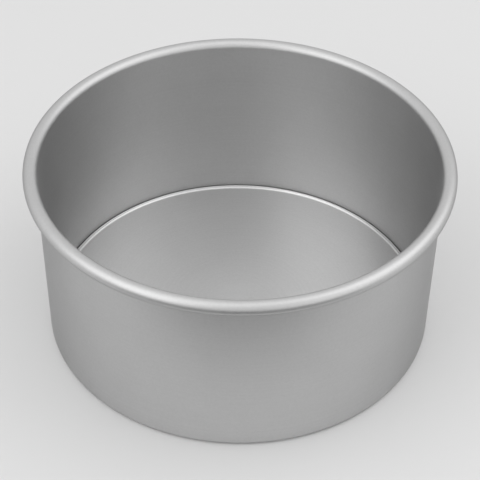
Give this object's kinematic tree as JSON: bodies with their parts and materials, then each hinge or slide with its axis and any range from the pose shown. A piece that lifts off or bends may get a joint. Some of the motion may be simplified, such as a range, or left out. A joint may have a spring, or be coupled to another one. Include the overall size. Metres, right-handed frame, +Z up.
{
  "type": "round cake tin",
  "caption": "Deep round baking tin in satin anodised aluminium with a rolled, wired rim and a loose base that pushes up out of the wall to free the cake.",
  "frame": {"origin": "on the tin's axis, at the plane the tin stands on", "axes": "+Z up along the tin's axis; +X and +Y are alike on a round tin, and the rim wire's ends meet on +X"},
  "size_m": [0.218, 0.218, 0.1016],
  "materials": {
    "wall_aluminium": "fine satin, clear anodised",
    "base_aluminium": "fine satin, clear anodised, with a faint concentric grain",
    "rim_steel": "dull galvanised"
  },
  "bodies": {
    "tin": {"side_wall": "wall_aluminium", "rim_wire": "rim_steel"},
    "base": {"loose_base": "base_aluminium"}
  },
  "joints": [
    {"name": "base_lift", "type": "slide", "parent": "tin", "child": "base", "axis": [0, 0, 1], "range_m": [0, 0.12]}
  ]
}
